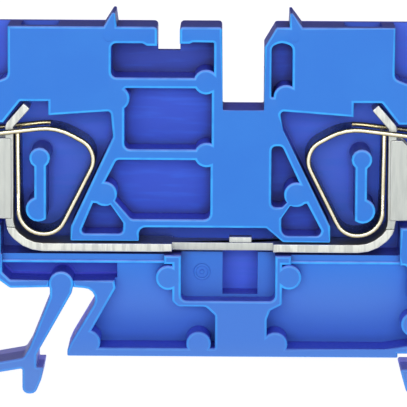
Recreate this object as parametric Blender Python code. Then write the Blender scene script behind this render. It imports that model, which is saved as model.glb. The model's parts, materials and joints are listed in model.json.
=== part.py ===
"""Feed-through terminal block for a 35 mm DIN rail, with a tension spring clamp at each end.

The block is a flat moulded housing, open on one side. One tin-plated current bar runs along it,
and its two ends stand up beside the conductor entries. A looped steel spring hangs on each end:
its contact leg rests on the bar, and its window arm pulls the conductor against the bar. A
screwdriver pushed into the operating slot tips the loop outwards and opens the window. A moulded
leg with a claw and a lever blade flexes to let the block off the rail.

Axes: +X along the block, +Y from the open side to the closed side, +Z up from the rail.
The origin is on the rail's centre line, on the plane where the block sits on the rail's brims.
Outlines are drawn in the XZ plane, in millimetres, and every solid is scaled to metres.
"""

import math

import bmesh
import bpy
from mathutils import Matrix, Vector

MM = 0.001

# Housing envelope
THICKNESS = 6.2
NEAR = -THICKNESS / 2  # open side
FAR = THICKNESS / 2  # closed side
CENTRE = -2.95  # the block's middle, measured from the rail's centre line
LENGTH = 53.0
HEIGHT = 29.75  # top face above the rail seat
LEFT_END = CENTRE - LENGTH / 2
RIGHT_END = CENTRE + LENGTH / 2

# Rail: TH35, 35 mm over its brims, 1 mm thick
RAIL_HALF = 17.5
CLAW_TOP = -1.05
FOOT_BOTTOM = -3.5

# Floor levels inside the housing, as Y
CHAMBER_FLOOR = 2.3
FUNNEL_FLOOR = 2.0
POCKET_FLOOR = 0.8
TOP_POCKET_FLOOR = 1.7
LEDGE_FACE = -2.3
RAMP_HIGH = -2.1  # lower pockets: floor at their upper edge
RAMP_LOW = 0.6  # lower pockets: floor at their lower edge
LEDGE_TOP = 9.2
LEDGE_BOTTOM = 8.4
POCKET_BOTTOM = 0.78

# Moulded bosses
BOSS_R = 1.12
BOSS_SET_BACK = 0.05
BOSS_ROOT = 2.7

# Current bar
BAR_T = 0.76
BAR_Z = 9.82
BAR_NEAR = -2.6
BAR_FAR = 2.0
WAIST_LEFT = -5.48  # the bar is narrowed over the centre box
WAIST_RIGHT = 3.56
WAIST_NEAR = -1.6
WAIST_FAR = 1.0
UPRIGHT_NEAR = -2.15
UPRIGHT_FAR = 1.3
UPRIGHT_BOTTOM = 11.6
UPRIGHT_H = 17.13  # distance of the upright's mid-plane from the block's middle
WING_T = 0.55
WING_TOP = 19.6
WING_BOTTOM = 12.3
WING_OUT = 19.9
LUG_LEFT = -0.38
LUG_RIGHT = 1.67
LUG_TOP = 10.7

# Clamp springs
STRIP_T = 0.45
SPRING_NEAR = -2.85
SPRING_FAR = 2.0
SPRING_CORNERS = [
    # (distance from the block's middle, z, bend radius): leg, lower bend, flank, arc, arm
    (16.37, 20.3, 0.0),
    (16.25, 11.05, 2.2),
    (12.76, 11.05, 1.9),
    (8.98, 18.54, 1.9),
    (12.86, 20.7, 5.0),
    (19.75, 19.9, 0.0),
]
RAIL_W = 0.5  # strip left on each side of the window
WINDOW_IN = 13.6
WINDOW_OUT = 18.7
LEG_GAP = 0.05  # the leg is this much narrower than the upright it passes, on each edge
PIVOT_H = 12.24  # flexure of the lower bend: distance from the block's middle, and height
PIVOT_Z = 12.12
SPLIT_GAP = 0.3

# Release leg
ROOT = (-15.41, 6.56)
ROOT_R = 1.12
ROOT_GAP = 0.3
LEG_HALF = 1.02  # half the leg's width where it leaves the root

# Conductor entries and screwdriver slots
PASSAGE_NEAR = -1.9
PASSAGE_FAR = 1.5
TOOL_SLOT_HALF = 1.95

OVER = 0.6  # how far a cutter runs past the face it opens
MODEL = "din_rail_terminal_block"


# ---------------------------------------------------------------- outlines


def arc(cx, cz, radius, start, end, steps):
    """Points on an arc, angles in degrees, counter-clockwise when end is above start."""
    points = []
    for i in range(steps + 1):
        a = math.radians(start + (end - start) * i / steps)
        points.append((cx + radius * math.cos(a), cz + radius * math.sin(a)))
    return points


def rounded(corners, degrees_per_step=24.0):
    """A closed outline from corners (x, z) or (x, z, radius), with its corners filleted."""
    outline = []
    count = len(corners)
    for i, corner in enumerate(corners):
        here = Vector(corner[:2])
        radius = corner[2] if len(corner) > 2 else 0.0
        if radius == 0.0:
            outline.append((here.x, here.y))
            continue
        back = (Vector(corners[i - 1][:2]) - here).normalized()
        ahead = (Vector(corners[(i + 1) % count][:2]) - here).normalized()
        outline.extend(fillet(here, back, ahead, radius, degrees_per_step))
    return outline


def fillet(corner, back, ahead, radius, degrees_per_step):
    """The arc of the given radius that is tangent to the two edges leaving a corner."""
    half = back.angle(ahead) / 2
    centre = corner + (back + ahead).normalized() * (radius / math.sin(half))
    first = corner + back * (radius / math.tan(half)) - centre
    last = corner + ahead * (radius / math.tan(half)) - centre
    turn = first.angle_signed(last)
    steps = max(2, round(math.degrees(abs(turn)) / degrees_per_step))
    start = math.degrees(math.atan2(first.y, first.x))
    return arc(centre.x, centre.y, radius, start, start - math.degrees(turn), steps)


def open_path(corners, degrees_per_step=15.0):
    """A centre line through corners (x, z, radius) with its inner corners filleted."""
    path = [tuple(corners[0][:2])]
    for before, corner, after in zip(corners, corners[1:], corners[2:]):
        here = Vector(corner[:2])
        back = (Vector(before[:2]) - here).normalized()
        ahead = (Vector(after[:2]) - here).normalized()
        path.extend(fillet(here, back, ahead, corner[2], degrees_per_step))
    path.append(tuple(corners[-1][:2]))
    return path


def strip(path, thickness):
    """The closed outline of a strip of the given thickness that follows a centre line."""
    sides = ([], [])
    for i, point in enumerate(path):
        before = Vector(path[max(i - 1, 0)])
        after = Vector(path[min(i + 1, len(path) - 1)])
        along = (after - before).normalized()
        normal = Vector((-along.y, along.x)) * thickness / 2
        sides[0].append(tuple(Vector(point) + normal))
        sides[1].append(tuple(Vector(point) - normal))
    return sides[0] + sides[1][::-1]


def sided(points, side):
    """Turn (distance from the block's middle, z, ...) into (x, z, ...) on side -1 or +1."""
    return [(CENTRE + side * p[0], *p[1:]) for p in points]


def side_box(inner, z0, outer, z1, side):
    """The box (x0, z0, x1, z1) between two distances from the block's middle, on a side."""
    low, high = sorted((CENTRE + side * inner, CENTRE + side * outer))
    return low, z0, high, z1


# ---------------------------------------------------------------- solids


def collection(name):
    made = bpy.data.collections.new(name)
    bpy.context.scene.collection.children.link(made)
    return made


def prism(name, outline, y_near, y_far, group):
    """A closed solid: an XZ outline in millimetres, filled and extruded between two Y levels."""
    curve = bpy.data.curves.new(name, "CURVE")
    curve.dimensions = "2D"
    curve.fill_mode = "BOTH"
    curve.extrude = (y_far - y_near) / 2 * MM
    spline = curve.splines.new("POLY")
    spline.points.add(len(outline) - 1)
    for point, (x, z) in zip(spline.points, outline):
        point.co = (x * MM, z * MM, 0.0, 1.0)
    spline.use_cyclic_u = True
    holder = bpy.data.objects.new(name + "_curve", curve)
    holder.rotation_euler = (math.pi / 2, 0.0, 0.0)
    holder.location = (0.0, (y_near + y_far) / 2 * MM, 0.0)
    group.objects.link(holder)
    bpy.context.view_layer.update()
    depsgraph = bpy.context.evaluated_depsgraph_get()
    mesh = bpy.data.meshes.new_from_object(holder.evaluated_get(depsgraph))
    mesh.transform(holder.matrix_world)
    bpy.data.objects.remove(holder)
    bpy.data.curves.remove(curve)
    weld(mesh)
    solid = bpy.data.objects.new(name, mesh)
    group.objects.link(solid)
    return solid


def weld(mesh):
    bm = bmesh.new()
    bm.from_mesh(mesh)
    bmesh.ops.remove_doubles(bm, verts=bm.verts, dist=1e-7)
    bmesh.ops.recalc_face_normals(bm, faces=bm.faces)
    bm.to_mesh(mesh)
    bm.free()


def primitive(name, shape, matrix, group):
    """A solid from a bmesh operator that makes a primitive, placed by a matrix in metres."""
    bm = bmesh.new()
    shape(bm)
    bmesh.ops.transform(bm, matrix=matrix, verts=bm.verts)
    mesh = bpy.data.meshes.new(name)
    bm.to_mesh(mesh)
    bm.free()
    solid = bpy.data.objects.new(name, mesh)
    group.objects.link(solid)
    return solid


def block(name, corners, y_near, y_far, group):
    """A box between two XZ corners (x0, z0, x1, z1) and two Y levels, in millimetres."""
    x0, z0, x1, z1 = corners
    size = Vector((x1 - x0, y_far - y_near, z1 - z0)) * MM
    middle = Vector((x0 + x1, y_near + y_far, z0 + z1)) / 2 * MM
    place = Matrix.Translation(middle) @ Matrix.Diagonal((*size, 1.0))
    return primitive(name, lambda bm: bmesh.ops.create_cube(bm, size=1.0), place, group)


def disc(name, centre, radius, y_near, y_far, group):
    """A cylinder along Y about an XZ centre, in millimetres."""
    middle = Vector((centre[0], (y_near + y_far) / 2, centre[1])) * MM
    place = Matrix.Translation(middle) @ Matrix.Rotation(math.pi / 2, 4, "X")

    def cylinder(bm):
        bmesh.ops.create_cone(
            bm, cap_ends=True, segments=24, radius1=radius * MM, radius2=radius * MM,
            depth=(y_far - y_near) * MM,
        )

    return primitive(name, cylinder, place, group)


def ramp_floor(cutter):
    """Tilt a lower pocket's floor: shallow under the ledge, deep beside the rail seat."""
    for vertex in cutter.data.vertices:
        if vertex.co.y > NEAR * MM:
            share = (LEDGE_BOTTOM - vertex.co.z / MM) / (LEDGE_BOTTOM - POCKET_BOTTOM)
            share = min(max(share, 0.0), 1.0)
            vertex.co.y = (RAMP_HIGH + (RAMP_LOW - RAMP_HIGH) * share) * MM


def combine(target, tool, operation):
    modifier = target.modifiers.new(tool.name, "BOOLEAN")
    modifier.operation = operation
    modifier.solver = "EXACT"
    modifier.object = tool
    tool.hide_render = True
    tool.display_type = "WIRE"


def set_origin(solid, x, z):
    """Put the object's origin on its joint's axis and keep the mesh where it is."""
    solid.data.transform(Matrix.Translation((-x * MM, 0.0, -z * MM)))
    solid.location = (x * MM, 0.0, z * MM)


def material(name, colour, roughness, metallic):
    made = bpy.data.materials.new(name)
    made.use_nodes = True
    shader = made.node_tree.nodes["Principled BSDF"]
    shader.inputs["Base Color"].default_value = (*colour, 1.0)
    shader.inputs["Roughness"].default_value = roughness
    shader.inputs["Metallic"].default_value = metallic
    return made


# ---------------------------------------------------------------- housing outlines


def housing_outline():
    """The outer edge of the housing, clockwise from its top left corner."""
    root_x, root_z = ROOT
    recess_r = ROOT_R + ROOT_GAP
    slot_top, wing_bottom = 6.17, 6.15
    meets_slot = math.degrees(math.asin((slot_top - root_z) / recess_r))
    meets_wing = 180 - math.degrees(math.asin((wing_bottom - root_z) / recess_r))
    top_left = [
        (LEFT_END, HEIGHT, 0.8),
        (-11.63, HEIGHT),
        (-10.86, 30.98, 0.12),
        (-10.62, 30.98, 0.12),
        (-10.45, HEIGHT),
        (-6.86, HEIGHT, 0.35),
        (-6.86, 27.15),
        (-4.87, 27.15),
        (-4.87, HEIGHT, 0.35),
        (-1.1, HEIGHT, 0.3),
        (-1.02, 22.33, 0.12),
    ]
    top_right = [
        (2.68, 22.33, 0.12),
        (2.68, 28.0, 0.2),
        (3.72, HEIGHT, 0.2),
        (4.88, HEIGHT),
        (4.93, 31.0, 0.1),
        (5.14, 31.0, 0.1),
        (6.06, HEIGHT),
        (RIGHT_END, HEIGHT, 0.8),
    ]
    right_end = [
        (RIGHT_END, 9.6, 1.2),
        (20.3, 5.6, 1.0),
        (20.1, FOOT_BOTTOM + 0.2, 1.1),
        (15.75, FOOT_BOTTOM, 0.8),
        (15.05, CLAW_TOP, 0.2),
        (RAIL_HALF + 0.15, CLAW_TOP, 0.2),
        (RAIL_HALF + 0.15, 0.37, 0.2),
        (14.82, 0.37),
        (14.82, 0.0, 0.12),
    ]
    bottom = [(-14.85, 0.0, 0.12), (-14.85, 0.5, 0.3), (-14.5, 1.29, 0.6)]
    slot = [(-11.6, slot_top, 1.0)]
    wing = [
        (-20.0, wing_bottom, 0.4),
        (-23.6, 8.75, 1.2),
        (LEFT_END, 9.6, 1.2),
    ]
    recess = arc(root_x, root_z, recess_r, meets_slot, meets_wing, 14)
    return rounded(top_left + top_right + right_end + bottom + slot + recess + wing)


def chamber_outline():
    """Both clamp chambers and the channel of the current bar that joins them."""
    left_wall = [
        (-11.0, 22.16, 0.3),
        (-10.78, 19.85, 0.5),
        (-14.56, 11.75, 0.8),
        (-14.56, 10.5, 0.1),
        (-8.45, 10.5, 0.1),
        (-8.45, 11.72, 0.6),
    ]
    right_wall = [
        (2.95, 11.72, 0.3),
        (4.45, 10.45, 0.3),
        (8.66, 10.45, 0.1),
        (8.66, 11.9, 0.6),
        (4.35, 20.6, 0.5),
        (4.08, 22.25, 0.3),
    ]
    ceiling = [(24.0, 21.1, 0.3), (17.62, 21.1), (16.1, 23.02, 0.15), (13.6, 23.02), (13.6, 21.76)]
    floor = [(17.88, LEDGE_TOP, 0.2), (17.88, 11.8), (24.0, 11.8, 0.5)]
    left = sided(floor, -1) + sided(ceiling, -1) + left_wall
    right = right_wall + sided(ceiling[::-1], 1) + sided(floor[::-1], 1)
    return rounded(left + right)


def pillar_outline(side):
    """The guide pillar inside a spring loop: a round head, a stem and a wider round foot."""
    head_h, head_z, head_r = 14.37, 17.93, 0.94
    foot_h, foot_z, foot_r = 14.5, 13.3, 1.13
    stem_in, stem_out = 13.79, 14.86
    head_in = math.degrees(math.acos((head_h - stem_in) / head_r))
    head_out = math.degrees(math.acos((stem_out - head_h) / head_r))
    foot_out = math.degrees(math.acos((stem_out - foot_h) / foot_r))
    foot_in = math.degrees(math.acos((foot_h - stem_in) / foot_r))
    head = arc(0, 0, head_r, 180 + head_in, head_out * -1, 12)
    foot = arc(0, 0, foot_r, foot_out, foot_in - 180, 10)
    outline = [(head_h + x, head_z + z) for x, z in head]
    outline += [(foot_h + x, foot_z + z) for x, z in foot]
    return sided(outline, side)


POCKETS = {
    # name: (outline, floor level)
    "pocket_a": (
        [
            (-10.96, 28.24, 0.45),
            (-8.15, 28.24, 0.3),
            (-7.8, 28.02, 0.3),
            (-6.3, 28.02),
            (-5.6, 28.22),
            (-4.0, 28.22, 0.3),
            (-3.7, 28.36, 0.3),
            (-1.82, 28.34, 0.1),
            (-1.82, 25.2, 0.1),
            (-10.96, 25.2, 0.5),
        ],
        TOP_POCKET_FLOOR,
    ),
    "pocket_b": (
        [(-9.76, 24.24, 0.2), (-2.0, 24.24, 0.1), (-2.0, 18.78, 0.1), (-9.76, 18.78, 0.5)],
        POCKET_FLOOR,
    ),
    "pocket_c": (
        [
            (-10.45, 17.8, 0.35),
            (-2.08, 17.8, 0.1),
            (-2.08, 12.48, 0.55),
            (-9.15, 12.48, 0.5),
            (-11.7, 15.4, 0.1),
        ],
        POCKET_FLOOR,
    ),
    "pocket_d": (
        [(3.3, 23.5, 0.1), (3.3, 28.05, 0.5), (4.21, 28.4, 0.9), (5.16, 28.05, 0.5), (5.16, 23.6)],
        POCKET_FLOOR,
    ),
    "pocket_e": (
        [(3.36, 13.62, 0.4), (3.36, 19.1, 0.4), (4.3, 19.1, 0.4), (6.1, 15.3), (5.3, 14.6),
         (4.35, 13.62, 0.3)],
        POCKET_FLOOR,
    ),
    "pocket_left_web": (
        [(-13.7, 11.16, 0.3), (-12.55, 13.9), (-11.0, 13.75), (-9.84, 12.1, 0.3),
         (-9.9, 11.16, 0.4)],
        POCKET_FLOOR,
    ),
    "pocket_right_web": (
        [(4.3, 11.04, 0.6), (4.28, 12.6, 0.4), (5.05, 13.72), (6.55, 13.95), (7.86, 11.5),
         (7.7, 11.04, 0.4)],
        POCKET_FLOOR,
    ),
    "pocket_right_wing": (
        [(16.6, 6.1, 0.5), (16.6, 10.3, 0.5), (22.0, 10.3, 0.5), (20.6, 6.1, 0.5)],
        POCKET_FLOOR,
    ),
    "pocket_left_low": (
        [(-20.69, 8.4, 0.1), (-10.4, 8.4), (-10.4, 6.92), (-19.98, 6.92, 0.2), (-20.69, 7.6, 0.2)],
        TOP_POCKET_FLOOR,
    ),
    "centre_box": (
        [(-4.66, 9.6), (3.76, 9.6), (3.76, 5.1, 0.5), (-4.66, 5.1, 0.5)],
        -0.7,
    ),
}

BOXES = {
    # name: ((x0, z0, x1, z1), floor level)
    "centre_slot": ((-0.95, 5.35, 2.22, 9.5), CHAMBER_FLOOR - 0.1),
    "ledge_left": ((-20.69, LEDGE_BOTTOM - 0.1, -6.2, LEDGE_TOP + 0.1), LEDGE_FACE),
    "ledge_right": ((5.2, LEDGE_BOTTOM - 0.1, CENTRE + 17.88, LEDGE_TOP + 0.1), LEDGE_FACE),
}

RAMPED_POCKETS = {
    "pocket_left_base": [
        (-10.9, LEDGE_BOTTOM), (-5.46, LEDGE_BOTTOM), (-5.46, 5.0, 0.4), (-4.9, 4.55, 0.2),
        (-2.45, 4.55, 0.5), (-1.6, 3.75, 0.3), (-1.6, POCKET_BOTTOM, 0.1),
        (-13.2, POCKET_BOTTOM, 0.1), (-12.75, 2.2), (-10.5, 6.2, 0.3),
    ],
    "pocket_right_base": [
        (4.4, LEDGE_BOTTOM), (4.4, 4.75, 0.3), (3.35, 4.22, 0.3), (3.06, 3.4, 0.3),
        (3.06, POCKET_BOTTOM, 0.1), (13.6, POCKET_BOTTOM, 0.5), (15.7, 1.12, 0.5),
        (18.6, 1.12, 0.4), (18.6, 5.1, 0.5), (15.6, 5.1, 0.4), (15.6, LEDGE_BOTTOM, 0.3),
    ],
}

BOSSES = [
    (-2.51, 24.82), (-10.42, 23.32), (-2.43, 18.28), (-11.52, 14.73), (4.61, 23.5),
    (5.62, 14.75), (-12.99, 1.25), (-5.82, 7.16), (-3.06, 1.17), (5.01, 7.25), (3.81, 1.15),
    (16.2, 3.05),
]


# ---------------------------------------------------------------- housing


def housing_cutters(cutters):
    """Every recess of the housing, as closed cutters."""
    made = [prism("cut_chambers", chamber_outline(), NEAR - OVER, CHAMBER_FLOOR, cutters)]
    for name, (corners, floor) in POCKETS.items():
        made.append(prism("cut_" + name, rounded(corners), NEAR - OVER, floor, cutters))
    for name, (corners, floor) in BOXES.items():
        made.append(block("cut_" + name, corners, NEAR - OVER, floor, cutters))
    for name, corners in RAMPED_POCKETS.items():
        pocket = prism("cut_" + name, rounded(corners), NEAR - OVER, RAMP_LOW, cutters)
        ramp_floor(pocket)
        made.append(pocket)
    for side, word in ((-1, "left"), (1, "right")):
        made.extend(entry_cutters(side, word, cutters))
    return made


def entry_cutters(side, word, cutters):
    """The conductor funnel, the bare-wire passage below it and the screwdriver slot."""
    funnel = sided(
        [(17.2, HEIGHT + OVER), (17.2, 25.2, 0.5), (18.4, 24.75, 0.5), (22.4, 24.75, 0.5),
         (23.6, 25.6, 0.6), (23.6, HEIGHT + OVER)],
        side,
    )
    passage = sided([(17.7, 20.8), (17.7, 25.0), (21.9, 25.0), (21.9, 20.8)], side)
    tool_slot = sided([(12.75, HEIGHT + OVER), (12.75, HEIGHT), (13.7, 22.8), (15.9, 22.8),
                       (16.1, HEIGHT), (16.1, HEIGHT + OVER)], side)
    made = [
        prism("cut_funnel_" + word, rounded(funnel), NEAR - OVER, FUNNEL_FLOOR, cutters),
        prism("cut_passage_" + word, passage, PASSAGE_NEAR, PASSAGE_FAR, cutters),
        prism("cut_tool_slot_" + word, tool_slot, -TOOL_SLOT_HALF, TOOL_SLOT_HALF, cutters),
    ]
    return made


def build_housing(parts, cutters, plastic):
    housing = prism("housing", housing_outline(), NEAR, FAR, parts)
    for cutter in housing_cutters(cutters):
        combine(housing, cutter, "DIFFERENCE")
    for i, centre in enumerate(BOSSES):
        name = f"add_boss_{i:02d}"
        boss = disc(name, centre, BOSS_R, NEAR + BOSS_SET_BACK, BOSS_ROOT, cutters)
        combine(housing, boss, "UNION")
    for side, word in ((-1, "left"), (1, "right")):
        pillar = prism(
            "add_pillar_" + word, pillar_outline(side), NEAR + BOSS_SET_BACK, BOSS_ROOT, cutters
        )
        combine(housing, pillar, "UNION")
    housing.data.materials.append(plastic)
    return housing


# ---------------------------------------------------------------- release leg


def build_release_foot(parts, cutters, plastic):
    """The flexing leg: a root disc, a slanted leg, the foot with its claw, and the lever blade."""
    root_x, root_z = ROOT
    leg = rounded(
        [
            (root_x - LEG_HALF, root_z - 0.2),
            (-16.42, 5.35, 0.4),
            (-18.25, 0.75, 0.6),
            (-18.82, -0.2, 0.4),
            (-25.2, -1.35, 0.3),
            (-25.2, -2.27, 0.3),
            (-18.9, -1.2, 0.15),
            (-18.9, FOOT_BOTTOM, 0.55),
            (-17.75, FOOT_BOTTOM, 0.6),
            (-17.2, -2.2, 0.5),
            (-17.0, CLAW_TOP, 0.1),
            (-17.62, CLAW_TOP, 0.1),
            (-17.62, 0.1, 0.5),
            (-14.45, 5.75, 0.5),
            (root_x + LEG_HALF, root_z - 0.2),
        ]
    )
    foot = prism("release_foot", leg, NEAR, FAR, parts)
    root = disc("add_leg_root", ROOT, ROOT_R, NEAR + BOSS_SET_BACK, FAR - BOSS_SET_BACK, cutters)
    combine(foot, root, "UNION")
    foot.data.materials.append(plastic)
    set_origin(foot, root_x, root_z)
    root.parent = foot
    root.matrix_parent_inverse = foot.matrix_basis.inverted()
    return foot


# ---------------------------------------------------------------- current bar


def bar_path(side):
    """Centre line of one half of the bar: flat, bent up, upright, bent inwards at the top."""
    corners = [
        (0.0, BAR_Z, 0.0),
        (15.45, BAR_Z, 3.3),
        (UPRIGHT_H, 11.45, 1.9),
        (UPRIGHT_H, 20.7, 0.45),
        (15.55, 22.5, 0.0),
    ]
    return sided(open_path(corners), side)


def build_current_bar(parts, cutters, tinned):
    path = bar_path(-1)[::-1] + bar_path(1)[1:]
    bar = prism("current_bar", strip(path, BAR_T), BAR_NEAR, BAR_FAR, parts)
    margins = {
        # name: (x0, z0, x1, z1), then the near and far edges that stay
        "cut_waist": ((WAIST_LEFT, BAR_Z - 1, WAIST_RIGHT, BAR_Z + 1), WAIST_NEAR, WAIST_FAR),
        "cut_upright_left": (
            (LEFT_END, UPRIGHT_BOTTOM, CENTRE - 14, HEIGHT), UPRIGHT_NEAR, UPRIGHT_FAR,
        ),
        "cut_upright_right": (
            (CENTRE + 14, UPRIGHT_BOTTOM, RIGHT_END, HEIGHT), UPRIGHT_NEAR, UPRIGHT_FAR,
        ),
    }
    for name, (box, near, far) in margins.items():
        combine(bar, block(name + "_near", box, BAR_NEAR - OVER, near, cutters), "DIFFERENCE")
        combine(bar, block(name + "_far", box, far, BAR_FAR + OVER, cutters), "DIFFERENCE")
    for side, word in ((-1, "left"), (1, "right")):
        wing = rounded(
            sided(
                [
                    (UPRIGHT_H - BAR_T / 4, WING_BOTTOM),
                    (UPRIGHT_H - BAR_T / 4, WING_TOP, 0.2),
                    (18.0, WING_TOP, 0.15),
                    (WING_OUT, 17.7, 0.3),
                    (WING_OUT, WING_BOTTOM, 0.4),
                ],
                side,
            )
        )
        for label, near in (("near", UPRIGHT_NEAR - 0.02), ("far", UPRIGHT_FAR - WING_T + 0.02)):
            tool = prism(f"add_wing_{word}_{label}", wing, near, near + WING_T, cutters)
            combine(bar, tool, "UNION")
    lug = (LUG_LEFT, BAR_Z, LUG_RIGHT, LUG_TOP)
    combine(bar, block("add_lug", lug, WAIST_NEAR + 0.05, -0.4, cutters), "UNION")
    bar.data.materials.append(tinned)
    return bar


# ---------------------------------------------------------------- clamp springs


def split_path(path, keep_after, distance):
    """Cut a path at the pivot: the part before it, or after it, ending `distance` short."""
    pivot = Vector((PIVOT_H, PIVOT_Z))
    nearest = min(range(len(path)), key=lambda i: (Vector(path[i]) - pivot).length)
    part = path[nearest:] if keep_after else path[: nearest + 1][::-1]
    along = (Vector(part[1]) - Vector(part[0])).normalized()
    start = Vector(part[0]) + along * distance
    return [tuple(start)] + part[1:]


def build_spring(side, word, parts, cutters, steel):
    """One steel strip, split at the bend that flexes: the fixed leg and the moving cage."""
    path = open_path(SPRING_CORNERS, 10.0)
    leg_path = split_path(path, False, SPLIT_GAP / 2)
    cage_path = split_path(path, True, SPLIT_GAP / 2)
    leg = prism(f"spring_{word}_leg", sided(strip(leg_path, STRIP_T), side), SPRING_NEAR,
                SPRING_FAR, parts)
    cage = prism(f"spring_{word}_cage", sided(strip(cage_path, STRIP_T), side), SPRING_NEAR,
                 SPRING_FAR, parts)
    narrow = side_box(15.5, 13.2, 17.3, 21.0, side)
    margins = {
        "near": (SPRING_NEAR - OVER, UPRIGHT_NEAR - LEG_GAP),
        "far": (UPRIGHT_FAR + LEG_GAP, SPRING_FAR + OVER),
    }
    for label, levels in margins.items():
        combine(leg, block(f"cut_leg_{word}_{label}", narrow, *levels, cutters), "DIFFERENCE")
    window = side_box(WINDOW_IN, 19.0, WINDOW_OUT, 22.0, side)
    opening = block(f"cut_window_{word}", window, SPRING_NEAR + RAIL_W, SPRING_FAR - RAIL_W,
                    cutters)
    combine(cage, opening, "DIFFERENCE")
    for solid in (leg, cage):
        solid.data.materials.append(steel)
    set_origin(cage, CENTRE + side * PIVOT_H, PIVOT_Z)
    opening.parent = cage
    opening.matrix_parent_inverse = cage.matrix_basis.inverted()


# ---------------------------------------------------------------- the block


def main():
    for stale in list(bpy.data.objects):
        bpy.data.objects.remove(stale)
    parts = collection(MODEL)
    cutters = collection(MODEL + "_cutters")
    plastic = material("blue_polyamide", (0.035, 0.21, 0.75), 0.4, 0.0)
    tinned = material("tinned_copper", (0.78, 0.79, 0.76), 0.3, 1.0)
    steel = material("spring_steel", (0.66, 0.62, 0.55), 0.25, 1.0)
    build_housing(parts, cutters, plastic)
    build_release_foot(parts, cutters, plastic)
    build_current_bar(parts, cutters, tinned)
    for side, word in ((-1, "left"), (1, "right")):
        build_spring(side, word, parts, cutters, steel)


main()
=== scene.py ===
import json
import math

import bmesh
import bpy
import numpy as np
from mathutils import Matrix, Vector
from mathutils.geometry import delaunay_2d_cdt


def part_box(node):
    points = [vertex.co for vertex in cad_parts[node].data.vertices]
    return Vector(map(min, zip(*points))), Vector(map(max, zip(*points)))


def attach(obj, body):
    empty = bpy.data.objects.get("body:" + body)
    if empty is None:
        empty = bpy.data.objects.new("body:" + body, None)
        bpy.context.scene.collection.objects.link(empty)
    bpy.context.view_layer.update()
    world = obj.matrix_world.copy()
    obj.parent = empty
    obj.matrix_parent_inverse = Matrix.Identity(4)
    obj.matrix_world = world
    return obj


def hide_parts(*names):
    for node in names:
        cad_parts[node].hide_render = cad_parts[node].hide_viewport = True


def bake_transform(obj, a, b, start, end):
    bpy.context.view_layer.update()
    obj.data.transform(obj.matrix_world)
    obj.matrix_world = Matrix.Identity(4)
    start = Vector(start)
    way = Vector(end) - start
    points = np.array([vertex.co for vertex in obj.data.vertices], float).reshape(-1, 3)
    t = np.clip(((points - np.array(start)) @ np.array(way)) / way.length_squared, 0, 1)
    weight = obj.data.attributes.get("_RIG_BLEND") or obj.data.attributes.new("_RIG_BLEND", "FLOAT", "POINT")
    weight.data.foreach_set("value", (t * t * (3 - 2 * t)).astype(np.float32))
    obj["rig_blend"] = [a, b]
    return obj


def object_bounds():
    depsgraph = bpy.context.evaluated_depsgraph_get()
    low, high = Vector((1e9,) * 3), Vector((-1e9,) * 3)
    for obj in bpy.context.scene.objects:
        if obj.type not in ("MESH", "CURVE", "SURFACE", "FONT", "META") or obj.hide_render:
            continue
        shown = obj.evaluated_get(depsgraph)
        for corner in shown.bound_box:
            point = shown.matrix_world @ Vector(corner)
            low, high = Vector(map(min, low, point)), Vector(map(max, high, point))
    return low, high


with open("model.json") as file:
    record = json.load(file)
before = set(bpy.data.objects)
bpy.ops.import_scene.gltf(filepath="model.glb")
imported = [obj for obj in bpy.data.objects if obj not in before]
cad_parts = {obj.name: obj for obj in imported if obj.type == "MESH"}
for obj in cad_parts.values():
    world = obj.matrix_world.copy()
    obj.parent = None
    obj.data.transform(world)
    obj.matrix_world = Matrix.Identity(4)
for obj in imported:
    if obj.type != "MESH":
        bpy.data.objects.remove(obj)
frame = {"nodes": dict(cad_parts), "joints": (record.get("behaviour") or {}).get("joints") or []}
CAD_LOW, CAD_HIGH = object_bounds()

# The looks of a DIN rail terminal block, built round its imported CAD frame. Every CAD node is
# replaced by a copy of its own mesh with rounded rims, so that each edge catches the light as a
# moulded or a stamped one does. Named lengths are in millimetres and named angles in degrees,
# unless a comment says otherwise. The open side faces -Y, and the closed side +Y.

MM = 0.001
MIDDLE = (CAD_LOW + CAD_HIGH) / 2
CENTRE = MIDDLE.x / MM  # symmetry line of the two clamps
JOINTS = {joint["name"]: Vector(joint["pos_m"]) for joint in frame["joints"]}
OPEN_SIDE, CLOSED_SIDE = -1, 1

# Rims of the moulding: how far the rounding reaches across the flat side, and how deep
RIM_WIDTH = 0.26
BACK_RIM_WIDTH = 0.3
RIM_DEPTH = 0.2
RIM_STEPS = 4

# A rim is at most this share of the room that it has
CORNER_SHARE = 0.8  # of an edge between two tight corners
WALL_SHARE = 0.38  # of the wall's thickness
GAP_SHARE = 0.33  # of the distance to the next outline
RIM_SLOPE = 0.5  # the most that its width changes along the outline
SHARPEST_COSINE = -0.999
STRAIGHT = 1e-3  # corners that shorten a rim's inner line by less are straight
MITRE_LIMIT = 0.3  # holds the rim back where the outline turns sharply

# Rims of the metal parts
BAR_BEVEL = 0.1
SPRING_BEVEL = 0.19
BEVEL_STEPS = 3
BEVEL_ANGLE = 35.0

FLAT_ANGLE = 0.5  # neighbouring triangles that turn less than this are one face
SHARP_ANGLE = 32.0  # edges that turn more than this are shaded sharp
WELD = 1e-4
CUT_SLACK = 1e-5
SLIVER = 4e-3  # shorter edges of a cut are collapsed
TOUCHING = 1e-3
SPAN_SLACK = 0.01  # of an edge's length
PARALLEL = 1e-12
FILL_SLACK = 1e-6
DISC_STEPS = 40


# ---------------------------------------------------------------- mesh work


def cad_mesh(node):
    """A welded bmesh copy of a CAD node."""
    bm = bmesh.new()
    bm.from_mesh(frame["nodes"][node].data)
    bm.verts.layers.float.new("rim")
    bmesh.ops.remove_doubles(bm, verts=bm.verts, dist=WELD * MM)
    return bm


def merge_flats(bm):
    """Merge the triangles of each flat face, where that leaves a simple outline."""
    angle = math.radians(FLAT_ANGLE)
    bmesh.ops.dissolve_limit(
        bm, angle_limit=angle, verts=bm.verts, edges=bm.edges, delimit={"NORMAL"}
    )


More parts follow.
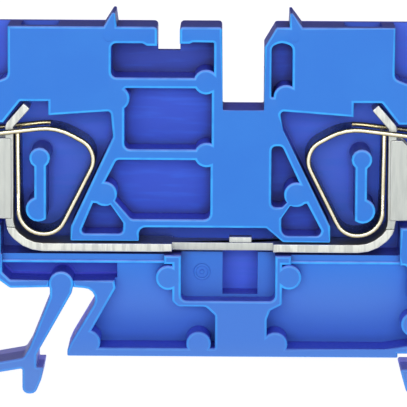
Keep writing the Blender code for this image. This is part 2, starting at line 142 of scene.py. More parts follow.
def finish_piece(bm, name, body, node, surface, sharp=SHARP_ANGLE):
    """Make an object from a bmesh, shade it, and let it ride in place of its CAD node."""
    bmesh.ops.recalc_face_normals(bm, faces=bm.faces)
    bm.normal_update()
    for face in bm.faces:
        face.smooth = True
    for edge in bm.edges:
        edge.smooth = edge.calc_face_angle(0) < math.radians(sharp)
    mesh = bpy.data.meshes.new(name)
    bm.to_mesh(mesh)
    bm.free()
    mesh.materials.append(surface)
    piece = bpy.data.objects.new(name, mesh)
    bpy.context.scene.collection.objects.link(piece)
    normals = piece.modifiers.new("weighted_normals", "WEIGHTED_NORMAL")
    normals.keep_sharp = True
    if body:
        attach(piece, body)
    if node:
        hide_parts(node)
    return piece


def open_loops(bm):
    """The open edges of a cut mesh as loops of (vertices, outward XZ normal of each edge)."""
    following = {}
    for edge in bm.edges:
        if not edge.is_boundary:
            continue
        wall = edge.link_loops[0]
        normal = Vector((wall.face.normal.x, wall.face.normal.z)).normalized()
        following[wall.vert] = (wall.link_loop_next.vert, normal)
    loops = []
    while following:
        first = here = next(iter(following))
        verts, normals = [], []
        while here in following:
            there, normal = following.pop(here)
            verts.append(here)
            normals.append(normal)
            here = there
        if here is not first:
            raise ValueError("an open loop of the cut mesh doesn't close")
        loops.append((verts, np.array(normals)))
    return loops


def cross(a, b):
    """The cross product of arrays of 2D vectors."""
    return a[..., 0] * b[..., 1] - a[..., 1] * b[..., 0]


def ring_pairs(count, first=0):
    """The neighbours round a closed ring, as pairs of indices."""
    return [(first + i, first + (i + 1) % count) for i in range(count)]


def thickness_behind(points, inward, starts, ends):
    """How far each point can look along its inward direction before it meets another edge."""
    span = ends - starts
    away = starts[None] - points[:, None]
    across = cross(inward[:, None], span[None])
    across[np.abs(across) < PARALLEL] = np.nan
    reach = cross(away, span[None]) / across
    along = cross(away, np.broadcast_to(inward[:, None], away.shape)) / across
    with np.errstate(invalid="ignore"):
        hit = (reach > TOUCHING * MM) & (along > -SPAN_SLACK) & (along < 1 + SPAN_SLACK)
    return np.where(hit, reach, np.inf).min(1)


def rim_widths(points, normals, mitre, wanted, all_starts, all_ends):
    """The rim's width at each point of a loop: less at tight corners and on thin walls."""
    edge = np.roll(points, -1, 0) - points
    length = np.linalg.norm(edge, axis=1)
    before = np.roll(normals, 1, 0)
    cosine = np.clip((before * normals).sum(1), SHARPEST_COSINE, 1.0)
    half_turn = np.sqrt((1 - cosine) / (1 + cosine))
    convex = cross(np.roll(edge, 1, 0), edge) * cross(edge, normals) < 0
    shrink = np.where(convex, half_turn, -half_turn)
    per_edge = shrink + np.roll(shrink, -1)
    room = CORNER_SHARE * length / np.maximum(per_edge, STRAIGHT)
    room = np.where(per_edge > STRAIGHT, room, np.inf)
    width = np.minimum(np.minimum(room, np.roll(room, 1)), wanted)
    inward = -mitre / np.linalg.norm(mitre, axis=1)[:, None]
    behind = thickness_behind(points, inward, all_starts, all_ends)
    width = np.minimum(width, WALL_SHARE * behind)
    for _ in range(len(points)):
        calm = np.minimum(width, np.roll(width, 1) + RIM_SLOPE * np.roll(length, 1))
        calm = np.minimum(calm, np.roll(width, -1) + RIM_SLOPE * length)
        if np.allclose(calm, width):
            break
        width = calm
    return width


def keep_apart(outlines, widths):
    """Narrow the rims where one outline passes close to another."""
    for i, points in enumerate(outlines):
        for j, other in enumerate(outlines):
            if i == j:
                continue
            span = np.roll(other, -1, 0) - other
            along = ((points[:, None] - other[None]) * span[None]).sum(2) / (span**2).sum(1)[None]
            nearest = other[None] + np.clip(along, 0, 1)[:, :, None] * span[None]
            limit = GAP_SHARE * np.linalg.norm(points[:, None] - nearest, axis=2)
            widths[i] = np.minimum(widths[i], limit.min(1))
            facing = limit.min(0)
            widths[j] = np.minimum(widths[j], np.minimum(facing, np.roll(facing, 1)))


def open_side(bm, side, cut):
    """Cut the flat of one side off at a Y level, and collapse the cut's slivers."""
    everything = bm.verts[:] + bm.edges[:] + bm.faces[:]
    bmesh.ops.bisect_plane(
        bm, geom=everything, dist=CUT_SLACK * MM, plane_co=(0, cut, 0), plane_no=(0, side, 0),
        clear_outer=True,
    )
    rough = [edge for edge in bm.edges if edge.is_boundary]
    bmesh.ops.dissolve_degenerate(bm, dist=SLIVER * MM, edges=rough)
    bm.normal_update()


def raise_rim(bm, verts, points, mitre, reach, side, cut):
    """Build a quarter round from an open loop up to the flat, and return its last ring."""
    rim = bm.verts.layers.float["rim"]
    ring = verts
    for step in range(1, RIM_STEPS + 1):
        turn = math.pi / 2 * step / RIM_STEPS
        moved = points - mitre * (reach * (1 - math.cos(turn)))[:, None]
        y = cut + side * RIM_DEPTH * MM * math.sin(turn)
        made = [bm.verts.new((x, y, z)) for x, z in moved]
        for vert in made:
            vert[rim] = float(step < RIM_STEPS)
        for i, j in ring_pairs(len(ring)):
            bm.faces.new((ring[i], ring[j], made[j], made[i]))
        ring = made
    return ring


def round_side(bm, side, width, marks=()):
    """Give one flat side a rounded rim of a width in millimetres, and fill it again.

    marks are discs (x, z, radius, sink) in metres, sunk into the flat.
    """
    level = side * max(side * vert.co.y for vert in bm.verts)
    cut = level - side * RIM_DEPTH * MM
    open_side(bm, side, cut)
    loops = open_loops(bm)
    outlines = [np.array([(v.co.x, v.co.z) for v in verts]) for verts, _ in loops]
    starts = np.concatenate(outlines)
    ends = np.concatenate([np.roll(outline, -1, 0) for outline in outlines])
    mitres, widths = [], []
    for (_, normals), points in zip(loops, outlines):
        before = np.roll(normals, 1, 0)
        spread = np.maximum(1 + (before * normals).sum(1), MITRE_LIMIT)
        mitres.append((before + normals) / spread[:, None])
        widths.append(rim_widths(points, normals, mitres[-1], width * MM, starts, ends))
    keep_apart(outlines, widths)
    rims = []
    for (verts, _), points, mitre, reach in zip(loops, outlines, mitres, widths):
        rims.append(raise_rim(bm, verts, points, mitre, reach, side, cut))
    fill_flat(bm, rims, level, side, marks)
    bmesh.ops.recalc_face_normals(bm, faces=bm.faces)


def disc_points(x, z, radius):
    """Points round a disc's edge."""
    turns = [2 * math.pi * i / DISC_STEPS for i in range(DISC_STEPS)]
    return [(x + radius * math.cos(a), z + radius * math.sin(a)) for a in turns]


def fill_flat(bm, rims, level, side, marks):
    """Fill between closed rims at a Y level, leaving their holes open, with sunk discs in it."""
    verts = []
    edges = []
    for ring in rims:
        edges += ring_pairs(len(ring), len(verts))
        verts += ring
    borders = np.array([[(verts[i].co.x, verts[i].co.z) for i in edge] for edge in edges])
    for x, z, radius, _ in marks:
        edges += ring_pairs(DISC_STEPS, len(verts))
        verts += [bm.verts.new((px, level, pz)) for px, pz in disc_points(x, z, radius)]
    # The solver is given millimetres, where its tolerance suits the smallest edges
    flat = [Vector((v.co.x / MM, v.co.z / MM)) for v in verts]
    solved, _, triangles, origin, _, _ = delaunay_2d_cdt(flat, edges, [], 0, FILL_SLACK)
    corners = np.array([tuple(p) for p in solved]) * MM
    for place, own in zip(corners, origin):
        if not own:
            raise ValueError(f"a mark crosses the outline at {place / MM} mm, side {level / MM}")
    faces = []
    areas = [abs(cross(corners[b] - corners[a], corners[c] - corners[a])) for a, b, c in triangles]
    for _, triangle in sorted(zip(areas, triangles), reverse=True):
        centre = corners[list(triangle)].mean(0)
        own = [verts[origin[i][0]] for i in triangle]
        sides = [bm.edges.get((own[i - 1], own[i])) for i in range(3)]
        taken = any(edge is not None and len(edge.link_faces) > 1 for edge in sides)
        if inside(centre, borders) and not taken:
            faces.append((bm.faces.new(own), centre))
    for x, z, radius, sink in marks:
        disc = [face for face, c in faces if math.hypot(c[0] - x, c[1] - z) < radius]
        sunk = bmesh.ops.extrude_face_region(bm, geom=disc)
        moved = [g for g in sunk["geom"] if isinstance(g, bmesh.types.BMVert)]
        bmesh.ops.translate(bm, verts=moved, vec=(0, -side * sink, 0))
        bmesh.ops.delete(bm, geom=disc, context="FACES_ONLY")


def inside(point, borders):
    """Whether a point is in the material, by counting the borders to its right."""
    a, b = borders[:, 0], borders[:, 1]
    spans = (a[:, 1] > point[1]) != (b[:, 1] > point[1])
    a, b = a[spans], b[spans]
    crossing = a[:, 0] + (point[1] - a[:, 1]) * (b[:, 0] - a[:, 0]) / (b[:, 1] - a[:, 1])
    return (crossing > point[0]).sum() % 2 == 1


def bevel_convex(bm, width, chosen=lambda edge: True):
    """Round a part's chosen outer edges, and mark the rounding as rim."""
    bm.normal_update()
    edges = []
    for edge in bm.edges:
        if edge.is_manifold and edge.is_convex:
            if edge.calc_face_angle() > math.radians(BEVEL_ANGLE) and chosen(edge):
                edges.append(edge)
    rounded = bmesh.ops.bevel(
        bm, geom=edges, offset=width * MM, offset_type="OFFSET", segments=BEVEL_STEPS,
        profile=0.5, affect="EDGES", clamp_overlap=False,
    )
    rim = bm.verts.layers.float["rim"]
    made = set(rounded["faces"])
    for vert in rounded["verts"]:
        vert[rim] = float(all(face in made for face in vert.link_faces))


# ---------------------------------------------------------------- materials


class Graph:
    """A material's node tree, with short calls for the nodes that the surfaces share.

    Places and sizes in it are in millimetres.
    """

    def __init__(self, name):
        self.material = bpy.data.materials.new(name + "_look")
        self.material["slot"] = name
        self.material.use_nodes = True
        self.tree = self.material.node_tree
        self.shader = self.tree.nodes["Principled BSDF"]
        scaled = self.add("ShaderNodeVectorMath", operation="SCALE")
        self.link(self.add("ShaderNodeTexCoord").outputs["Object"], scaled.inputs["Vector"])
        self.link(1 / MM, scaled.inputs["Scale"])
        self.place = scaled.outputs["Vector"]
        self.x, self.y, self.z = self.split(self.place)

    def add(self, kind, **settings):
        """A new node with some of its properties set."""
        node = self.tree.nodes.new(kind)
        for key, value in settings.items():
            setattr(node, key, value)
        return node

    def link(self, source, target):
        """Feed an input from an output, a number or a colour."""
        if isinstance(source, (int, float, tuple)):
            target.default_value = source
        else:
            self.tree.links.new(source, target)

    def split(self, vector):
        """X, Y and Z of a vector."""
        node = self.add("ShaderNodeSeparateXYZ")
        self.link(vector, node.inputs["Vector"])
        return node.outputs["X"], node.outputs["Y"], node.outputs["Z"]

    def facing(self):
        """X, Y and Z of the surface's normal."""
        return self.split(self.add("ShaderNodeNewGeometry").outputs["Normal"])

    def math(self, operation, a, b=0.0):
        """A math node's result."""
        node = self.add("ShaderNodeMath", operation=operation)
        self.link(a, node.inputs[0])
        self.link(b, node.inputs[1])
        return node.outputs[0]

    def product(self, first, *others):
        """The product of two or more values."""
        for other in others:
            first = self.math("MULTIPLY", first, other)
        return first

    def rest(self, value):
        """What is left of 1."""
        return self.math("SUBTRACT", 1.0, value)

    def ramp(self, value, low, high, to_low=0.0, to_high=1.0):
        """A smooth step of value from to_low at low to to_high at high."""
        node = self.add("ShaderNodeMapRange", interpolation_type="SMOOTHSTEP")
        self.link(value, node.inputs["Value"])
        self.link(low, node.inputs["From Min"])
        self.link(high, node.inputs["From Max"])
        self.link(to_low, node.inputs["To Min"])
        self.link(to_high, node.inputs["To Max"])
        return node.outputs["Result"]

    def noise(self, size, detail=3.0, stretch=(1, 1, 1)):
        """Noise from 0 to 1 with features of about a size, drawn out where stretch is under 1."""
        mapping = self.add("ShaderNodeMapping")
        self.link(self.place, mapping.inputs["Vector"])
        self.link(stretch, mapping.inputs["Scale"])
        node = self.add("ShaderNodeTexNoise")
        self.link(mapping.outputs["Vector"], node.inputs["Vector"])
        self.link(1 / size, node.inputs["Scale"])
        self.link(detail, node.inputs["Detail"])
        return node.outputs["Fac"]

    def mix(self, factor, a, b):
        """Colour a at factor 0, and b at 1."""
        node = self.add("ShaderNodeMix", data_type="RGBA")
        self.link(factor, node.inputs["Factor"])
        self.link(a, node.inputs["A"])
        self.link(b, node.inputs["B"])
        return node.outputs["Result"]

    def bump(self, height, distance):
        """The normal of a bumpy surface, where height 1 stands a distance above 0."""
        node = self.add("ShaderNodeBump")
        self.link(height, node.inputs["Height"])
        self.link(distance * MM, node.inputs["Distance"])
        return node.outputs["Normal"]

    def rim(self):
        """1 on a rounded rim, 0 on the flats and walls beside it."""
        return self.add("ShaderNodeAttribute", attribute_name="rim").outputs["Fac"]

    def crevice(self, reach):
        """1 in corners and gaps tighter than about a reach, 0 in the open."""
        node = self.add("ShaderNodeAmbientOcclusion", samples=6)
        self.link(reach * MM, node.inputs["Distance"])
        return self.ramp(node.outputs["AO"], 0.35, 0.9, 1.0, 0.0)

    def finish(self, colour, roughness, normal, metallic=0.0):
        """Feed the shader, and return the material."""
        self.link(colour, self.shader.inputs["Base Color"])
        self.link(roughness, self.shader.inputs["Roughness"])
        self.link(normal, self.shader.inputs["Normal"])
        self.link(metallic, self.shader.inputs["Metallic"])
        return self.material


FACE_BLUE = (0.03, 0.235, 0.86, 1)
CLOUD_BLUE = (0.04, 0.29, 0.92, 1)
LOW_BLUE = (0.07, 0.245, 0.83, 1)
FOOT_BLUE = (0.11, 0.28, 0.8, 1)
# Painted shade and light on the pocket floors: darker with depth, darker still in the slots, brighter in the
# chambers
DEEP_SHADE_BLUE = (0.045, 0.125, 0.76, 1)
SLOT_SHADE_BLUE = (0.045, 0.1, 0.6, 1)
CHAMBER_LIT_BLUE = (0.08, 0.19, 1.0, 1)
STREAK_BLUE = (0.05, 0.19, 0.92, 1)
# Painted shade on the walls, and painted light on the walls low down that face up
WALL_SHADE_BLUE = (0.11, 0.115, 0.72, 1)
WALL_LIT_PALE = (0.38, 0.36, 0.66, 1)
# Painted light on the lower pockets' sloping floors
SLOPE_LIT_BLUE = (0.1, 0.265, 0.84, 1)
CREVICE_DARK = (0.03, 0.02, 0.12, 1)
# Painted highlight on the rims
RIM_HIGHLIGHT_CYAN = (0.05, 0.43, 1.0, 1)
RIM_HIGHLIGHT_LILAC = (0.2, 0.36, 0.95, 1)
RIM_PAINTED_GLOW = 0.22  # painted glow on the rims, for the light that thin rims let through
FLOOR_PAINTED_GLOW = 0.12  # painted glow on the thin floors of the chambers
UNDER_LEDGE_PAINTED_GLOW = 1.8  # and painted glow on those under the ledges, this many times as much

# Where the moulding's looks change, from the start of each change to its end. Y runs inwards.
POCKET_Y = (-1.0, 0.5)
SLOT_Y = (1.0, 1.5)
CHAMBER_Y = (1.8, 2.1)
SKIN_Y = (2.6, 2.9)  # the closed side's outer skin
SHADE_Y = (-2.9, -2.2)
SLOPE_Y = (-2.2, -0.4)
LIT_Y = (0.5, 0.75)
LOW_Z = (12.0, 3.0)
FOOT_Z = (2.0, -2.0)
PALE_Z = (0.7, 0.4)
SHADE_Z = (7.0, 10.0)
RIM_HIGHLIGHT_Z = (0.0, 8.0)
UNDER_LEDGE_Z = (9.0, 8.4)
END_WALL = (26.0, 26.3)  # from the symmetry line
LIT_ASIDE = (5.5, 8.0)  # from the symmetry line
SLOPE_FACING = -0.27  # about the Z of the normals on the lower pockets' sloping floors


def moulded_faces(g):
    """Outer faces: clouded, and paler towards the foot."""
    cloud = g.ramp(g.noise(6.0), 0.35, 0.7)
    colour = g.mix(g.product(cloud, 0.35), FACE_BLUE, CLOUD_BLUE)
    colour = g.mix(g.ramp(g.z, *LOW_Z), colour, LOW_BLUE)
    return g.mix(g.ramp(g.z, *FOOT_Z), colour, FOOT_BLUE)


def moulded_floors(g):
    """Pocket floors: a blue for each depth, painted darker in the pockets and slots as painted shade and
    brighter in the chambers as painted light, under long streaks of the melt's flow.
    """
    streak = g.ramp(g.noise(0.5, detail=4.0, stretch=(0.12, 1, 1)), 0.45, 0.75)
    colour = g.mix(g.ramp(g.y, *SLOT_Y), DEEP_SHADE_BLUE, SLOT_SHADE_BLUE)
    colour = g.mix(g.ramp(g.y, *CHAMBER_Y), colour, CHAMBER_LIT_BLUE)
    return g.mix(g.product(streak, 0.6), colour, STREAK_BLUE)


def plastic():
    """Satin blue polyamide: lighter outer faces, pockets and walls with painted shade and light, flow
    streaks, and rims with a painted highlight and glow.
    """
    g = Graph("blue_polyamide")
    _, facing_y, facing_z = g.facing()
    aside = g.math("ABSOLUTE", g.math("SUBTRACT", g.x, CENTRE))
    ends = g.ramp(aside, *END_WALL)
    skin = g.ramp(g.y, *SKIN_Y, 1.0, 0.0)
    deep = g.product(g.ramp(g.y, *POCKET_Y), skin, g.rest(ends))
    colour = g.mix(deep, moulded_faces(g), moulded_floors(g))

    # Painted shade: walls are violet, most of all those that face up; painted light: near the foot those
    # that face up are pale
    upward = g.ramp(facing_z, 0.2, 0.6, 0.5, 0.85)
    steep = g.ramp(g.math("ABSOLUTE", facing_y), 0.25, 0.7, 1.0, 0.0)
    wall = g.product(upward, steep, g.rest(g.product(ends, 0.7)))
    painted_pale = g.product(g.ramp(g.z, *PALE_Z), g.ramp(facing_z, 0.3, 0.6))
    colour = g.mix(wall, colour, g.mix(painted_pale, WALL_SHADE_BLUE, WALL_LIT_PALE))

    # The lower pockets' floors slope, and face a little down; a lighter blue is painted on them as painted
    # light
    off_slope = g.math("ABSOLUTE", g.math("SUBTRACT", facing_z, SLOPE_FACING))
    sloping_lit = g.product(g.ramp(off_slope, 0.08, 0.16, 1.0, 0.0), g.ramp(g.y, *SLOPE_Y))
    colour = g.mix(g.product(sloping_lit, 0.8), colour, SLOPE_LIT_BLUE)

    # Shade in the corners of the pockets, less of it low down
    shade = g.product(g.ramp(g.y, *SHADE_Y, 0.0, 0.7), skin, g.crevice(1.1))
    shade = g.product(shade, g.ramp(g.z, *SHADE_Z, 0.3, 1.0))
    colour = g.mix(shade, colour, CREVICE_DARK)

    # Painted highlight on the rims, cyan where they face down or sideways and lilac where they face up,
    # uneven in patches and weaker low down
    patches = g.ramp(g.noise(1.2, detail=5.0), 0.3, 0.6, 0.65, 1.0)
    rim_highlight = g.product(g.rim(), patches, g.ramp(g.z, *RIM_HIGHLIGHT_Z, 0.4, 1.0))
    rim_highlight_blue = g.mix(g.ramp(facing_z, 0.1, 0.6), RIM_HIGHLIGHT_CYAN, RIM_HIGHLIGHT_LILAC)
    colour = g.mix(rim_highlight, colour, rim_highlight_blue)

    # Painted glow, standing in for light that comes through rims and thin floors
    under_ledge = g.product(g.ramp(g.y, *LIT_Y), g.ramp(g.z, *UNDER_LEDGE_Z, 0.0, UNDER_LEDGE_PAINTED_GLOW))
    painted_floor_glow = g.product(skin, g.math("MAXIMUM", g.ramp(g.y, *CHAMBER_Y), under_ledge))
    painted_floor_glow = g.product(painted_floor_glow, g.ramp(aside, *LIT_ASIDE, 0.0, FLOOR_PAINTED_GLOW))
    glow = g.math("MAXIMUM", g.product(rim_highlight, RIM_PAINTED_GLOW), painted_floor_glow)
    g.link(colour, g.shader.inputs["Emission Color"])
    g.link(glow, g.shader.inputs["Emission Strength"])

    g.link(0.3, g.shader.inputs["Specular IOR Level"])
    grain = g.noise(0.3, detail=4.0)
    return g.finish(colour, g.ramp(grain, 0.3, 0.7, 0.34, 0.46), g.bump(grain, 0.006))


STEEL_CREAM = (0.96, 0.9, 0.68, 1)
STEEL_GOLD = (0.48, 0.39, 0.18, 1)
RIM_SHADE_BROWN = (0.1, 0.065, 0.035, 1)
BROAD_FACE_SHADE = (0.16, 0.13, 0.085, 1)  # painted shade on the strip's broad faces
FAR_STRIP_Y = (-1.0, 0.5)


def spring_steel():
    """Stamped spring strip: cream sheared edges with random gold tints, with painted shade in gold and brown
    across their rounded rims, in gold on the strips further in, and dark on the broad faces.
    """
    g = Graph("spring_steel")
    _, facing_y, _ = g.facing()
    sheared = g.math("ABSOLUTE", facing_y)  # 1 on the sheared edges, 0 on the broad faces
    tint = g.ramp(g.noise(1.6), 0.4, 0.75)
    colour = g.mix(g.product(tint, 0.35), STEEL_CREAM, STEEL_GOLD)
    # Painted shade by the facing and depth of the strip: gold across the rounding and further in, brown at
    # its outer edge, dark on the broad faces
    rounded = g.ramp(sheared, 0.8, 0.98, 1.0, 0.0)
    gold_shade = g.math("MAXIMUM", rounded, g.ramp(g.y, *FAR_STRIP_Y, 0.0, 0.8))
    colour = g.mix(gold_shade, colour, STEEL_GOLD)
    colour = g.mix(g.ramp(sheared, 0.05, 0.35, 1.0, 0.0), colour, RIM_SHADE_BROWN)
    colour = g.mix(g.ramp(sheared, 0.0, 0.1, 0.8, 0.0), colour, BROAD_FACE_SHADE)
    scuff = g.noise(0.12, stretch=(1, 0.15, 1))
    return g.finish(colour, g.ramp(scuff, 0.3, 0.7, 0.24, 0.36), g.bump(scuff, 0.004), 1.0)


TIN_LIGHT = (0.8, 0.82, 0.74, 1)
TIN_GREY = (0.6, 0.62, 0.57, 1)
TIN_RIM_HIGHLIGHT = (0.97, 0.97, 0.93, 1)
TIN_SHADE = (0.5, 0.53, 0.5, 1)  # painted shade, on the parts set further in
TIN_SHADE_Y = (-2.5, -2.2)
BAR_TIP_Z = (20.0, 20.6)  # the shade ends below the tips of the bar


def tinned_copper():
    """Matt tin plating, rolled in fine lines, with painted shade on the parts set further in and a painted
    highlight along its rims.
    """
    g = Graph("tinned_copper")
    lines = g.noise(0.35, detail=4.0, stretch=(1, 1, 0.12))
    cloud = g.ramp(g.noise(1.5, detail=4.0), 0.35, 0.7)
    colour = g.mix(g.ramp(lines, 0.42, 0.62), TIN_LIGHT, TIN_GREY)
    colour = g.mix(g.product(cloud, 0.3), colour, TIN_GREY)
    # Painted shade on the parts set further in
    shade = g.product(g.ramp(g.y, *TIN_SHADE_Y), g.ramp(g.z, *BAR_TIP_Z, 1.0, 0.2), 0.75)
    colour = g.mix(shade, colour, TIN_SHADE)
    # Painted highlight along the rims
    colour = g.mix(g.product(g.rim(), 0.7), colour, TIN_RIM_HIGHLIGHT)
    return g.finish(colour, g.ramp(lines, 0.3, 0.7, 0.36, 0.5), g.bump(lines, 0.006), 0.85)


# ---------------------------------------------------------------- pieces


def discs(radius, sink, centres):
    """Marks of one size, given in millimetres, for round_side."""
    return [(x * MM, z * MM, radius * MM, sink * MM) for x, z in centres]


PRONG_DISCS = discs(0.45, 0.05, [(-11.2, 28.85), (5.3, 28.85)])
# Sockets of the closed side, which take the next block's bosses
SOCKETS = discs(0.6, 0.35, [
    (-2.51, 24.82), (-10.42, 23.32), (-2.43, 18.28), (-11.52, 14.73), (4.61, 23.5),
    (5.62, 14.75), (-5.82, 7.16), (5.01, 7.25), (16.2, 3.05),
])
EJECTOR_MARKS = discs(1.3, 0.06, [
    (-22.0, 23.0), (15.5, 23.0), (-22.0, 13.0), (15.5, 12.0), (0.0, 3.5),
])

# The recess of the release leg's root disc, drawn in until only a hairline is left round it
ROOT_RECESS = 1.42
ROOT_SEAT = 1.135
ROOT_SLACK = 0.04


def build_housing(surface):
    """The moulded body, with the wall round the release leg's root drawn close to it."""
    bm = cad_mesh("housing")
    merge_flats(bm)
    root = JOINTS["foot_flex"]
    for vert in bm.verts:
        spoke = Vector((vert.co.x - root.x, 0, vert.co.z - root.z))
        if abs(spoke.length - ROOT_RECESS * MM) < ROOT_SLACK * MM:
            vert.co.x = root.x + spoke.x * ROOT_SEAT / ROOT_RECESS
            vert.co.z = root.z + spoke.z * ROOT_SEAT / ROOT_RECESS
    round_side(bm, OPEN_SIDE, RIM_WIDTH, PRONG_DISCS)
    round_side(bm, CLOSED_SIDE, BACK_RIM_WIDTH, SOCKETS + EJECTOR_MARKS)
    finish_piece(bm, "housing_shell", "housing", "housing", surface)


# Beads along the lower lips of the ledges under the current bar: their ends lie in the walls
LEDGE_FACE = -2.3
BEAD_Z = 8.52
BEAD_OUT = 0.13
BEAD_UP = 0.14
BEAD_STEPS = 16
BEAD_SPANS = [(-20.73, -6.1), (5.1, 14.97)]


def build_ledge_bead(name, span, surface):
    """A thin round bead from one X to another."""
    bm = bmesh.new()
    rim = bm.verts.layers.float.new("rim")
    turns = [2 * math.pi * i / BEAD_STEPS for i in range(BEAD_STEPS)]
    section = [(LEDGE_FACE - BEAD_OUT * math.cos(a), BEAD_Z + BEAD_UP * math.sin(a)) for a in turns]
    start, end = [[bm.verts.new(Vector((x, y, z)) * MM) for y, z in section] for x in span]
    bm.faces.new(start)
    bm.faces.new(end)
    for i, j in ring_pairs(BEAD_STEPS):
        bm.faces.new((start[i], start[j], end[j], end[i]))
    # All of the bead is marked rim, so it takes the rims' painted highlight and glow
    for vert in bm.verts:
        vert[rim] = 1.0
    bmesh.ops.recalc_face_normals(bm, faces=bm.faces)
    finish_piece(bm, name, "housing", None, surface)


# A mould-maker's dial, raised on the floor of the centre box: (radius, height) of its profile
DIAL_CENTRE = (-2.8, 7.35)
DIAL_FLOOR = -0.7
DIAL_PROFILE = [
    (0.0, 0.1), (0.16, 0.1), (0.2, 0.05), (0.22, -0.04), (0.5, -0.04), (0.53, 0.06), (0.58, 0.1),
    (0.7, 0.1), (0.75, 0.06), (0.78, -0.08), (0.0, -0.08),
]
DIAL_STEPS = 48
DIAL_WELD = 1e-3
DIAL_SHARP_ANGLE = 40.0


def build_dial(surface):
    """The dial, turned from its profile."""
    bm = bmesh.new()
    bm.verts.layers.float.new("rim")
    verts = [bm.verts.new((r * MM, -h * MM, 0)) for r, h in DIAL_PROFILE]
    edges = [bm.edges.new(pair) for pair in zip(verts, verts[1:])]
    bmesh.ops.spin(
        bm, geom=verts + edges, cent=(0, 0, 0), axis=(0, 1, 0), angle=2 * math.pi, steps=DIAL_STEPS
    )
    bmesh.ops.remove_doubles(bm, verts=bm.verts, dist=DIAL_WELD * MM)
    x, z = DIAL_CENTRE
    bmesh.ops.translate(bm, verts=bm.verts, vec=Vector((x, DIAL_FLOOR, z)) * MM)
    finish_piece(bm, "mould_dial", "housing", None, surface, sharp=DIAL_SHARP_ANGLE)


def build_release_foot(surface):
    """The sprung leg with the hook that lets go of the rail."""
    bm = cad_mesh("release_foot")
    merge_flats(bm)
    round_side(bm, OPEN_SIDE, RIM_WIDTH)
    round_side(bm, CLOSED_SIDE, BACK_RIM_WIDTH)
    finish_piece(bm, "release_lever", "release_foot", "release_foot", surface)


def build_current_bar(surface):
    """The bent bar that joins the two clamps."""
    bm = cad_mesh("current_bar")
    merge_flats(bm)
    bevel_convex(bm, BAR_BEVEL)
    finish_piece(bm, "contact_bar", "housing", "current_bar", surface)


# A clamp spring is one strip, in two pieces that meet at a seam in the bend where it flexes
SEAM_RADIUS = 0.33  # the end faces' corners lie within it of the clamp's joint
SEAM_SLACK = 1e-3
BLEND_LENGTH = 1.2

# The fixed leg narrows above its bend: the step is drawn out into a taper
SHOULDER = 13.2
SHOULDER_SLACK = 0.05
STRIP_EDGE_SLACK = 0.01
TAPER_IN = 0.018
TAPER_UP = 1.4


def seam_verts(bm, pivot):
    """The corners of a spring piece's end face at the seam."""
    radius = SEAM_RADIUS * MM
    return [v for v in bm.verts if math.hypot(v.co.x - pivot.x, v.co.z - pivot.z) < radius]


def taper_shoulders(bm, node, inwards):
    """Draw the step in a fixed leg's width out into a taper."""
    low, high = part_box(node)
    for vert in bm.verts:
        at_step = abs(vert.co.z - SHOULDER * MM) < SHOULDER_SLACK * MM
        to_edge = min(abs(vert.co.y - low.y), abs(vert.co.y - high.y))
        if at_step and to_edge > STRIP_EDGE_SLACK * MM:
            vert.co.x -= inwards * TAPER_IN * MM
            vert.co.z += TAPER_UP * MM


def build_spring(side, surface):
    """One clamp: its moving loop, and its fixed leg, which bends with the loop at the seam."""
    cage_node, leg_node = f"spring_{side}_cage", f"spring_{side}_leg"
    pivot = JOINTS[side + "_clamp"]
    outwards = math.copysign(1.0, pivot.x - MIDDLE.x)
    cage = cad_mesh(cage_node)
    leg = cad_mesh(leg_node)
    merge_flats(cage)
    merge_flats(leg)
    taper_shoulders(leg, leg_node, -outwards)
    seam = [v.co.copy() for v in seam_verts(cage, pivot)]
    for vert in seam_verts(leg, pivot):
        vert.co = min(seam, key=lambda corner: (corner - vert.co).length)

    def on_seam(vert):
        return any((vert.co - corner).length < SEAM_SLACK * MM for corner in seam)

    for bm in (cage, leg):
        bevel_convex(bm, SPRING_BEVEL, lambda edge: not all(on_seam(v) for v in edge.verts))
    finish_piece(cage, f"clamp_{side}_loop", side + "_cage", cage_node, surface)
    leg_piece = finish_piece(leg, f"clamp_{side}_leg", None, leg_node, surface)
    start = pivot + Vector((outwards * BLEND_LENGTH * MM, 0, 0))
    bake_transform(leg_piece, "housing", side + "_cage", start=start, end=pivot)


# ---------------------------------------------------------------- stage

WHITE = (1, 1, 1, 1)
FLOOR_HALF = 4.0  # metres
FLOOR_GAP = 0.2
FLOOR_GREY = (0.3, 0.3, 0.3, 1)
FLOOR_ROUGHNESS = 0.9
FLOOR_GLOW = 0.7  # to the object
FLOOR_SEEN = 0.95  # to the camera
ROOM_GREY = (0.12, 0.12, 0.15, 1)

# Soft boxes: name, azimuth, elevation, distance and (width, height) in metres, watts, and whether
# they show in reflections. Azimuth 0 is in front of the open side.
LIGHTS = [
    ("key", -4, 14, 0.5, (0.5, 0.12), 0.85, True),
    ("front_fill", 2, 10, 0.6, (0.6, 0.6), 0.72, True),
    ("back_fill", 176, 6, 0.6, (0.4, 0.4), 0.9, False),
]

# Camera: a long lens in front of the open side, a little above it
LENS = 323.0
SENSOR = 36.0
CLIP = (0.01, 20)  # metres
CAMERA_DISTANCE = 326.0
CAMERA_ELEVATION = 8.5
CAMERA_YAW = 0.35
CAMERA_ROLL = 0.3
AIM_RIGHT = 0.27  # aim point, from the housing's middle
AIM_UP = 13.93  # aim point, above the rail seat


def direction(azimuth, elevation):
    """The unit vector from the object towards an azimuth and elevation."""
    a, e = math.radians(azimuth), math.radians(elevation)
    return Vector((math.sin(a) * math.cos(e), -math.cos(a) * math.cos(e), math.sin(e)))


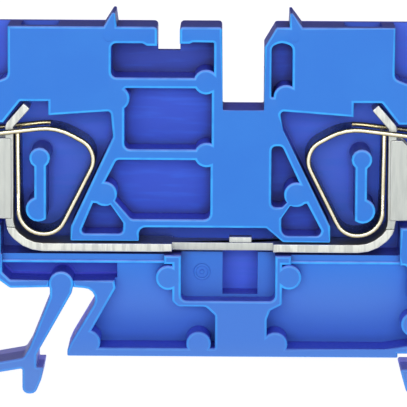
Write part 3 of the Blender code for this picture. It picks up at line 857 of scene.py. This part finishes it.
def build_floor():
    """A white floor, brighter to the camera than to the object."""
    mesh = bpy.data.meshes.new("floor")
    half = FLOOR_HALF
    corners = [(-half, -half, 0), (half, -half, 0), (half, half, 0), (-half, half, 0)]
    mesh.from_pydata(corners, [], [(0, 1, 2, 3)])
    floor = bpy.data.objects.new("floor", mesh)
    floor.location.z = CAD_LOW.z - FLOOR_GAP * MM
    bpy.context.scene.collection.objects.link(floor)
    paint = bpy.data.materials.new("floor_paint")
    paint.use_nodes = True
    nodes, links = paint.node_tree.nodes, paint.node_tree.links
    shader = nodes["Principled BSDF"]
    shader.inputs["Base Color"].default_value = FLOOR_GREY
    shader.inputs["Roughness"].default_value = FLOOR_ROUGHNESS
    shader.inputs["Emission Color"].default_value = WHITE
    path = nodes.new("ShaderNodeLightPath")
    glow = nodes.new("ShaderNodeMapRange")
    glow.inputs["To Min"].default_value = FLOOR_GLOW
    glow.inputs["To Max"].default_value = FLOOR_SEEN
    links.new(path.outputs["Is Camera Ray"], glow.inputs["Value"])
    links.new(glow.outputs["Result"], shader.inputs["Emission Strength"])
    mesh.materials.append(paint)


def build_light(name, azimuth, elevation, distance, size, power, glossy):
    """A soft box that looks at the middle of the object."""
    light = bpy.data.lights.new(name, "AREA")
    light.shape = "RECTANGLE"
    light.size, light.size_y = size
    light.energy = power
    lamp = bpy.data.objects.new(name, light)
    back = direction(azimuth, elevation)
    lamp.location = MIDDLE + back * distance
    lamp.rotation_mode = "QUATERNION"
    lamp.rotation_quaternion = (-back).to_track_quat("-Z", "Y")
    lamp.visible_glossy = glossy
    bpy.context.scene.collection.objects.link(lamp)


def build_room():
    """A dim room that the camera sees as white."""
    world = bpy.data.worlds.new("studio")
    bpy.context.scene.world = world
    world.use_nodes = True
    nodes, links = world.node_tree.nodes, world.node_tree.links
    path = nodes.new("ShaderNodeLightPath")
    mix = nodes.new("ShaderNodeMix")
    mix.data_type = "RGBA"
    mix.inputs["A"].default_value = ROOM_GREY
    mix.inputs["B"].default_value = WHITE
    links.new(path.outputs["Is Camera Ray"], mix.inputs["Factor"])
    links.new(mix.outputs["Result"], nodes["Background"].inputs["Color"])


def build_camera():
    """The photo's camera."""
    camera = bpy.data.cameras.new("camera")
    camera.lens = LENS
    camera.sensor_width = SENSOR
    camera.clip_start, camera.clip_end = CLIP
    holder = bpy.data.objects.new("camera", camera)
    bpy.context.scene.collection.objects.link(holder)
    aim = Vector((MIDDLE.x + AIM_RIGHT * MM, CAD_LOW.y, AIM_UP * MM))
    back = direction(CAMERA_YAW, CAMERA_ELEVATION)
    right = Vector((0, 0, 1)).cross(back).normalized()
    up = back.cross(right)
    roll = math.radians(CAMERA_ROLL)
    level = right * math.cos(roll) + up * math.sin(roll)
    tilted = up * math.cos(roll) - right * math.sin(roll)
    turn = Matrix((level, tilted, back)).transposed().to_4x4()
    holder.matrix_world = Matrix.Translation(aim + back * CAMERA_DISTANCE * MM) @ turn
    bpy.context.scene.camera = holder


# ---------------------------------------------------------------- the scene

polyamide = plastic()
tin = tinned_copper()
steel = spring_steel()
build_housing(polyamide)
build_dial(polyamide)
for number, bead_span in enumerate(BEAD_SPANS):
    build_ledge_bead(f"ledge_bead_{number}", bead_span, polyamide)
build_release_foot(polyamide)
build_current_bar(tin)
build_spring("left", steel)
build_spring("right", steel)
build_floor()
for soft_box in LIGHTS:
    build_light(*soft_box)
build_room()
build_camera()
bpy.context.scene.view_settings.view_transform = "Standard"
